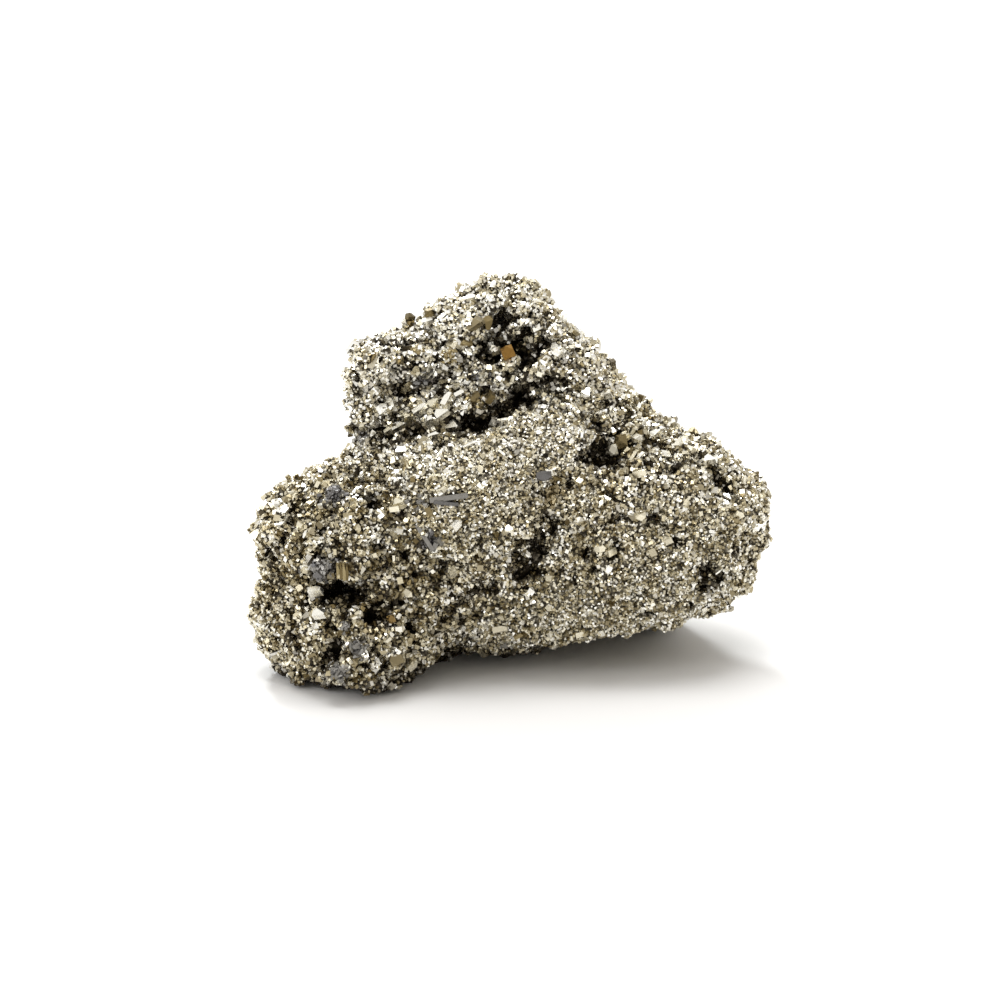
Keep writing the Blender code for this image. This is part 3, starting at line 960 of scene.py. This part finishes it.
# %% The large crystals, one by one
# Right, down, shape, half-sizes in mm, way it faces, turn in degrees, colour, lift in mm.
LARGE_CRYSTALS = [
    (508, 355, "cut cube", (0.80, 0.84, 0.6), FRONT, 24, ORANGE, 1.2),
    (493, 353, "wedge", (0.75, 0.75, 0.6), UP, 50, PALE, 1.5),
    (475, 323, "chip", (0.95, 0.80, 0.5), LEFT, 30, STONE, 0.5),
    (486, 323, "chip", (0.70, 0.70, 0.5), LOW, 80, DARK, 0.3),
    (370, 362, "wedge", (0.95, 0.75, 0.4), FRONT, 75, PALE, 0.35),
    (429, 323, "brick", (0.75, 0.55, 0.5), GLINT, 20, WHITE, 0.4),
    (430, 315, "cut cube", (0.62, 0.62, 0.6), UP, 20, DARK, 0.6),
    (411, 325, "cut cube", (0.50, 0.50, 0.5), UP, 50, DARK, 0.5),
    (466, 342, "wedge", (0.80, 0.60, 0.5), LOW, 10, BROWN, 0.3),
    (472, 300, "brick", (0.65, 0.50, 0.5), GLINT, 15, WHITE, 0.4),
    (501, 322, "wedge", (0.50, 0.45, 0.4), GLINT, 60, WHITE, 0.4),
    (452, 427, "chip", (1.05, 0.85, 0.5), SHARD, 10, WHITE, 1.6),
    (442, 415, "wedge", (0.95, 0.70, 0.5), SHARD, 40, WHITE, 1.6),
    (448, 403, "brick", (0.95, 0.60, 0.5), SHARD, 75, WHITE, 1.4),
    (431, 423, "splinter", (0.90, 0.60, 0.6), SHARD, 25, WHITE, 1.6),
    (421, 413, "brick", (1.00, 0.50, 0.5), SHARD, 40, WHITE, 1.6),
    (409, 421, "splinter", (0.80, 0.55, 0.7), SHARD, 20, PALE, 1.6),
    (400, 428, "chip", (0.90, 0.45, 0.4), SHARD, 30, WHITE, 1.4),
    (390, 433, "brick", (0.70, 0.35, 0.4), SHARD, 35, PALE, 1.2),
    (435, 436, "chip", (0.70, 0.35, 0.4), SHARD, 15, WHITE, 1.0),
    (433, 405, "wedge", (0.70, 0.60, 0.5), SHARD, 60, PALE, 1.4),
    (461, 397, "brick", (0.70, 0.45, 0.5), SHARD, 30, WHITE, 1.0),
    (475, 402, "wedge", (0.95, 0.75, 0.6), LOW, 30, BROWN, 0.5),
    (490, 398, "brick", (0.70, 0.55, 0.5), LOW, 60, DARK, 0.4),
    (621, 443, "wedge", (0.78, 0.70, 0.5), LOW, 10, BROWN, 0.8),
    (613, 453, "cut cube", (0.55, 0.70, 0.4), FRONT, 15, PALE_GREY, 1.5),
    (637, 440, "cut cube", (0.62, 0.52, 0.5), GLINT, 10, WHITE, 0.8),
    (626, 437, "brick", (0.50, 0.60, 0.4), GLINT, 40, PALE, 0.6),
    (607, 395, "brick", (0.60, 0.50, 0.4), GLINT, 20, WHITE, 0.4),
    (655, 434, "wedge", (0.70, 0.55, 0.5), GLINT, 55, WHITE, 0.4),
    (672, 425, "brick", (0.60, 0.60, 0.5), GLINT, 30, WHITE, 0.5),
    (711, 459, "wedge", (0.75, 0.60, 0.5), GLINT, 10, WHITE, 0.5),
    (737, 515, "chip", (0.65, 0.60, 0.4), GLINT, 35, PALE, 0.3),
    (735, 497, "brick", (0.55, 0.45, 0.4), GLINT, 15, WHITE, 0.3),
    (652, 521, "brick", (0.40, 0.75, 0.4), GLINT, 15, WHITE, 0.6),
    (641, 517, "cut cube", (0.65, 0.55, 0.5), UP, 25, PALE, 0.4),
    (667, 540, "wedge", (0.65, 0.50, 0.5), GLINT, 30, PALE, 0.4),
    (628, 545, "cut cube", (0.55, 0.40, 0.4), UP, 10, PALE, 0.3),
    (640, 473, "wedge", (0.85, 0.60, 0.5), UP, 20, PALE, 0.3),
    (600, 548, "pyritohedron", (0.85, 0.80, 0.7), UP, 20, PALE, 0.3),
    (609, 552, "wedge", (0.70, 0.60, 0.5), UP, 70, PALE, 0.3),
    (544, 477, "cut cube", (0.98, 0.62, 0.3), LOW, 8, BLUE_GREY, 0.5),
    (551, 474, "brick", (0.35, 0.30, 0.3), GLINT, 20, WHITE, 0.7),
    (549, 578, "cut cube", (0.55, 0.50, 0.4), FRONT, 40, PALE, 0.3),
    (629, 576, "chip", (0.55, 0.35, 0.3), GLINT, 15, WHITE, 0.3),
    (500, 630, "brick", (0.95, 0.50, 0.4), FRONT, 12, PALE, 0.3),
    (518, 634, "chip", (0.60, 0.45, 0.4), LOW, 30, BROWN, 0.2),
    (579, 634, "wedge", (0.55, 0.45, 0.4), UP, 40, PALE, 0.3),
    (338, 572, "brick", (0.20, 1.25, 0.4), LOW, 3, DEEP_BROWN, 0.7),
    (341, 572, "brick", (0.18, 1.35, 0.4), LOW, 3, DARK, 0.7),
    (344, 573, "brick", (0.20, 1.40, 0.4), LOW, 3, DEEP_BROWN, 0.7),
    (347, 573, "brick", (0.18, 1.35, 0.4), LOW, 3, DARK, 0.7),
    (316, 593, "brick", (0.90, 0.50, 0.5), GLINT, 12, WHITE, 0.9),
    (320, 614, "wedge", (0.85, 0.60, 0.5), GLINT, 10, WHITE, 0.7),
    (347, 590, "chip", (0.50, 0.28, 0.3), GLINT, 12, WHITE, 1.0),
    (335, 520, "brick", (0.75, 0.42, 0.4), GLINT, 35, WHITE, 0.5),
    (395, 508, "wedge", (0.65, 0.60, 0.4), UP, 20, PALE, 0.4),
    (350, 512, "cut cube", (0.60, 0.60, 0.5), UP, 45, PALE, 0.4),
    (399, 502, "wedge", (0.70, 0.55, 0.4), GLINT, 20, PALE, 0.4),
    (392, 620, "cut cube", (0.42, 0.50, 0.4), FRONT, 20, ROSE, 0.5),
    (396, 659, "cut cube", (0.85, 0.90, 0.5), FRONT, 25, STONE, 0.3),
    (407, 594, "cut cube", (0.65, 0.60, 0.4), FRONT, 10, PALE, 0.4),
    (456, 526, "brick", (0.62, 0.42, 0.4), GLINT, 65, WHITE, 0.3),
    (429, 513, "plate", (0.40, 0.60, 1.2), FRONT, 15, BROWN, 0.4),
]
print("large crystals:", len(LARGE_CRYSTALS))

# %% Blades and patches
# Right, down, half-sizes in mm, way it faces, turn in degrees, colour, lift in mm.
BLADES = [
    (449, 499, (2.50, 2.6, 4.0), FRONT, 8, GREY, 0.5),
    (446, 504, (1.60, 2.0, 3.0), LOW, -6, BLUE_GREY, 0.5),
    (425, 539, (2.00, 2.0, 4.0), FRONT, -57, GREY, 0.45),
    (437, 543, (1.35, 2.3, 4.0), FRONT, 67, GREY, 0.5),
    (639, 459, (0.95, 2.0, 3.0), GLINT, 65, WHITE, 0.9),
    (634, 457, (0.95, 2.0, 3.0), GLINT, 78, PALE, 0.9),
    (644, 462, (0.80, 2.0, 3.0), UP, 50, PALE, 0.9),
    (722, 568, (1.30, 2.4, 3.0), GLINT, 52, WHITE, 0.4),
    (553, 478, (1.30, 1.6, 3.0), LOW, -24, DARK, 0.5),
    (500, 452, (1.10, 1.2, 2.0), GLINT, -35, WHITE, 0.4),
    (470, 445, (1.00, 1.2, 2.0), GLINT, 30, WHITE, 0.4),
    (508, 455, (0.90, 1.2, 2.0), GLINT, -38, WHITE, 0.4),
]
# Patches of small chips that look nearly the same way: right, down, reach right and down in
# thousandths of the view, number, way, colour.
PATCHES = [
    (333, 496, 10, 8, 34, FRONT, BLUE_GREY),
    (322, 570, 13, 9, 44, FRONT, GREY),
    (356, 648, 8, 8, 24, FRONT, GREY),
    (338, 670, 11, 9, 34, FRONT, GREY),
    (362, 440, 7, 4, 10, LEFT, GREY),
    (481, 377, 9, 6, 18, UP, PALE_GREY),
    (428, 376, 8, 7, 18, LEFT, PALE_GREY),
    (553, 491, 6, 12, 40, FRONT, TAN),
    (448, 358, 9, 7, 16, LOW, BROWN),
    (418, 350, 6, 5, 10, LOW, BROWN),
    (477, 402, 8, 6, 14, LOW, BROWN),
    (419, 500, 7, 6, 12, FRONT, GREY),
    (345, 628, 6, 6, 12, FRONT, GREY),
    (524, 345, 8, 5, 20, UP, OCHRE),
    (655, 526, 8, 5, 12, UP, PALE),
]
print("blades:", len(BLADES), "patches:", len(PATCHES))


# %% Turn a crystal
def in_view(way):
    """A direction given as right, up and toward the eye."""
    return (Vector((1, 0, 0)) * way[0] + rise * way[1] + toward_eye * way[2]).normalized()


def facing(way, turn):
    """The rotation that looks along a way, turned round it by degrees."""
    out = in_view(way)
    side = rise.cross(out).normalized()
    over = out.cross(side)
    angle = math.radians(turn)
    along = side * math.cos(angle) + over * math.sin(angle)
    across = out.cross(along)
    return np.array([along, across, out]).T


singles = list(LARGE_CRYSTALS)
for right, down, *rest in BLADES:
    singles.append((right, down, "blade", *rest))

# %% Rosette
# A ring of small bricks, flattened a little because it is seen at a slant.
ROSETTE = (437, 485)
ROSETTE_RADIUS = 9.5
ROSETTE_HEIGHT = 0.8 * ROSETTE_RADIUS
PETALS = 10
STEP = 36
for index in range(PETALS):
    angle = math.radians(STEP * index)
    right = ROSETTE[0] + ROSETTE_RADIUS * math.cos(angle)
    down = ROSETTE[1] + ROSETTE_HEIGHT * math.sin(angle)
    turn = 90 - STEP * index
    singles.append((right, down, "brick", (0.40, 0.20, 0.3), GLINT, turn, PALE, 0.3))
print("crystals placed one by one:", len(singles))

# %% Fill the patches
PATCH_SPREAD = 0.55
PATCH_TILT = 0.3
CHIP_THICKNESS = 0.22
CHIP_LIFT = 0.15
for right, down, reach_right, reach_down, count, way, colour in PATCHES:
    for _ in range(count):
        aside, below = rng.normal(size=2) * PATCH_SPREAD
        tilt = Vector(way) + Vector(rng.normal(size=3)) * PATCH_TILT
        halves = (rng.uniform(0.18, 0.36), rng.uniform(0.18, 0.34), CHIP_THICKNESS)
        shape = ("wedge", "chip", "brick")[rng.integers(3)]
        place = (right + aside * reach_right, down + below * reach_down)
        if ground_tree.ray_cast(eye, view_ray(*place))[0] is None:
            continue
        turn = rng.uniform(0, 90)
        singles.append((*place, shape, halves, tuple(tilt), turn, colour, CHIP_LIFT))
print("with the patches:", len(singles))

# %% Set the large crystals
# Each is moved toward the eye and a little up, so that it stands clear of the grains.
lift_way = toward_eye * 0.55 + rise * 0.25
lots = []
for right, down, shape, halves, way, turn, (single_tone, single_hue), lift in singles:
    seat, _ = seen(ground_tree, right, down)
    centre = seat + np.array(lift_way) * (lift * MM)
    mark = np.array([[single_tone, 0.0, single_hue]])
    sizes = np.array([halves]) * MM
    lots.append((SHAPES[shape], centre[None], facing(way, turn)[None], sizes, mark))
pieces.append(join_crystals("large_crystals", lots))

# %% [markdown]
# ## Finish
# Pyrite is a pale brass-coloured metal. Its faces are flat and bright but finely striated, and
# neighbours differ a little in colour and polish. Some patches are tarnished, blue-grey or
# brown. Deep in the vugs and where the lump stands close over the table the crystals are
# darkened, partly a real stain and partly painted shade. The three numbers kept on the points
# say how much of each a crystal gets, so that one finish does for all of them.

# %% Marks
crystal_metal = bpy.data.materials.new("pyrite crystal faces")
mineral = Recipe(crystal_metal)
place = mineral.node("ShaderNodeTexCoord", output="Object")
marks = mineral.node("ShaderNodeAttribute", {"attribute_name": "marks"}, output="Color")
tone = mineral.node("ShaderNodeSeparateXYZ", {}, {0: marks}, output="X")
enclosed = mineral.node("ShaderNodeSeparateXYZ", {}, {0: marks}, output="Y")
hue = mineral.node("ShaderNodeSeparateXYZ", {}, {0: marks}, output="Z")
print("the finish reads:", marks.socket.node.attribute_name)

# %% Brass and tarnish
brass = mineral.node(
    "ShaderNodeValToRGB",
    {
        "stops": [
            (0.0, (0.155, 0.118, 0.055)),
            (0.3, (0.46, 0.40, 0.26)),
            (0.65, (0.73, 0.68, 0.535)),
            (1.0, (0.94, 0.925, 0.865)),
        ]
    },
    {"Fac": tone},
)
tarnish_film = mineral.node(
    "ShaderNodeValToRGB",
    {
        "stops": [
            (0.0, (0.265, 0.135, 0.025)),
            (0.15, (0.21, 0.155, 0.06)),
            (0.3, (0.50, 0.42, 0.24)),
            (0.7, (0.40, 0.40, 0.36)),
            (0.85, (0.25, 0.245, 0.24)),
            (1.0, (0.10, 0.10, 0.112)),
        ]
    },
    {"Fac": hue},
)
print("brass and tarnish:", len(mineral.tree.nodes), "nodes so far")

# %% Crystal finish
# The colour that enclosed crystals turn to: partly a real stain, partly painted shade in the
# vugs, the crevice and next to the table.
STAIN_AND_SHADE = (0.05, 0.034, 0.015)
COVER = 0.9
STRIAE_SCALE = 4200.0
STRIAE_DEPTH = 0.014 * MM
off_brass = hue.math("ABSOLUTE", hue - 0.5)
grey_patch = hue.above(0.75, 0.3)
coloured = mineral.mix(off_brass.above(0.25, 0.2) * COVER, brass, tarnish_film)
stain_and_shade_mix = mineral.mix(enclosed.above(0.55, 0.5) * COVER, coloured, STAIN_AND_SHADE)
striae_sockets = {"Vector": place, "Scale": STRIAE_SCALE, "Detail": 2.0}
striae = mineral.node("ShaderNodeTexNoise", {}, striae_sockets)
bump_sockets = {"Strength": 0.8, "Distance": STRIAE_DEPTH, "Height": striae}
bump = mineral.node("ShaderNodeBump", {}, bump_sockets)
shader = mineral.tree.nodes["Principled BSDF"]
mineral.feed(shader.inputs["Base Color"], stain_and_shade_mix)
mineral.feed(shader.inputs["Metallic"], 1.0)
frost = striae.above(0.5, 0.3)
dullness = 0.30 + frost * 0.16 - tone * 0.08 + grey_patch * 0.15
mineral.feed(shader.inputs["Roughness"], dullness)
mineral.feed(shader.inputs["Normal"], bump)
print("crystal finish:", len(mineral.tree.nodes), "nodes")

# %% [markdown]
# ## Finish of the ground
# What shows between the crystals is not one colour either. Each point of the ground takes the
# enclosure of the seat next to it, and the more enclosed it is, the more painted shade it gets.
# Where the grain is coarse the ground is bare and dark, a stain with painted shade in the deep
# gaps, and where it is fine the ground itself is sugary and bright, as if covered with grains
# too small to model.

# %% Marks of the ground
# Ground this far from any seat, in mm, counts as more enclosed, and so is painted darker as
# shade.
BARE_DISTANCE = 0.8
BARE_ENCLOSURE = 0.5
# How sugary the ground is where it has no gaps, and how fast that falls where it has. Where it
# falls the dark soil colour shows, partly a stain and partly painted shade in the gaps.
SUGARY = 0.9
SUGAR_LOSS = 1.1
seat_tree = KDTree(len(seat_points))
for index, point in enumerate(seat_points.tolist()):
    seat_tree.insert(point, index)
seat_tree.balance()
nearest = [seat_tree.find(point) for point in ground_points.tolist()]
bareness = np.array([distance for _, _, distance in nearest]) / MM
ground_marks = np.ones((len(ground_points), 4))
ground_marks[:, 0] = np.clip(SUGARY - SUGAR_LOSS * gap_depth(ground_points), 0, 1)
nearest_enclosure = seat_enclosure[[index for _, index, _ in nearest]]
bare = bareness > BARE_DISTANCE
ground_marks[:, 1] = np.clip(nearest_enclosure + BARE_ENCLOSURE * bare, 0, 1)
ground_attribute = ground.data.attributes.new("marks", "FLOAT_COLOR", "POINT")
ground_attribute.data.foreach_set("color", ground_marks.ravel())
print("ground marked:", len(ground_points), "points,", int(bare.sum()), "of them bare")

# %% Ground finish
ground_stain_and_shade = bpy.data.materials.new("stained and shaded ground")
matrix = Recipe(ground_stain_and_shade)
SPECK_SCALE = 1800.0
PIT_DEPTH = 0.08 * MM
place = matrix.node("ShaderNodeTexCoord", output="Object")
speck_sockets = {"Vector": place, "Scale": SPECK_SCALE, "Detail": 4.0}
specks = matrix.node("ShaderNodeTexNoise", {}, speck_sockets)
marks = matrix.node("ShaderNodeAttribute", {"attribute_name": "marks"}, output="Color")
sugary = matrix.node("ShaderNodeSeparateXYZ", {}, {0: marks}, output="X")
enclosed = matrix.node("ShaderNodeSeparateXYZ", {}, {0: marks}, output="Y")
sugar_stops = [
    (0.40, (0.04, 0.034, 0.022)),
    (0.52, (0.26, 0.235, 0.17)),
    (0.64, (0.70, 0.66, 0.54)),
]
# The soil is the stained matrix, dark enough to be painted shade in the gaps as well.
soil_and_shade_stops = [
    (0.35, (0.014, 0.010, 0.006)),
    (0.62, (0.05, 0.038, 0.022)),
    (0.78, (0.20, 0.17, 0.11)),
]
sugar = matrix.node("ShaderNodeValToRGB", {"stops": sugar_stops}, {"Fac": specks})
soil_and_shade = matrix.node("ShaderNodeValToRGB", {"stops": soil_and_shade_stops}, {"Fac": specks})
shader = matrix.tree.nodes["Principled BSDF"]
# Enclosed ground loses its sugar and takes the soil colour: painted shade.
open_sugar = sugary * (1 - enclosed.above(0.4, 0.4)) * 0.6
matrix.feed(shader.inputs["Base Color"], matrix.mix(open_sugar, soil_and_shade, sugar))
matrix.feed(shader.inputs["Metallic"], 0.7)
matrix.feed(shader.inputs["Roughness"], 0.75 - specks * 0.4)
pit_sockets = {"Strength": 0.8, "Distance": PIT_DEPTH, "Height": specks}
pits = matrix.node("ShaderNodeBump", {}, pit_sockets)
matrix.feed(shader.inputs["Normal"], pits)
print("ground finish:", len(matrix.tree.nodes), "nodes")

# %% Put the finishes on
ground.data.materials.clear()
ground.data.materials.append(ground_stain_and_shade)
for piece in pieces[1:]:
    piece.data.materials.append(crystal_metal)
print("pieces:", [piece.name for piece in pieces])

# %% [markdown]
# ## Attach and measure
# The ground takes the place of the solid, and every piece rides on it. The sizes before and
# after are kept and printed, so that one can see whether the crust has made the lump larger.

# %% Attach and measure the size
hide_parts("pyrite_cluster")
for piece in pieces:
    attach(piece, "root")
scene_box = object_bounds()
sizes = {
    "cad": [list(corner) for corner in solid_box],
    "visual": [list(corner) for corner in scene_box],
}
faces = [face for piece in pieces for face in piece.data.polygons]
print("triangles in all:", sum(len(face.vertices) - 2 for face in faces))
print("visual, mm:", [round(value / MM, 1) for corner in scene_box for value in corner])
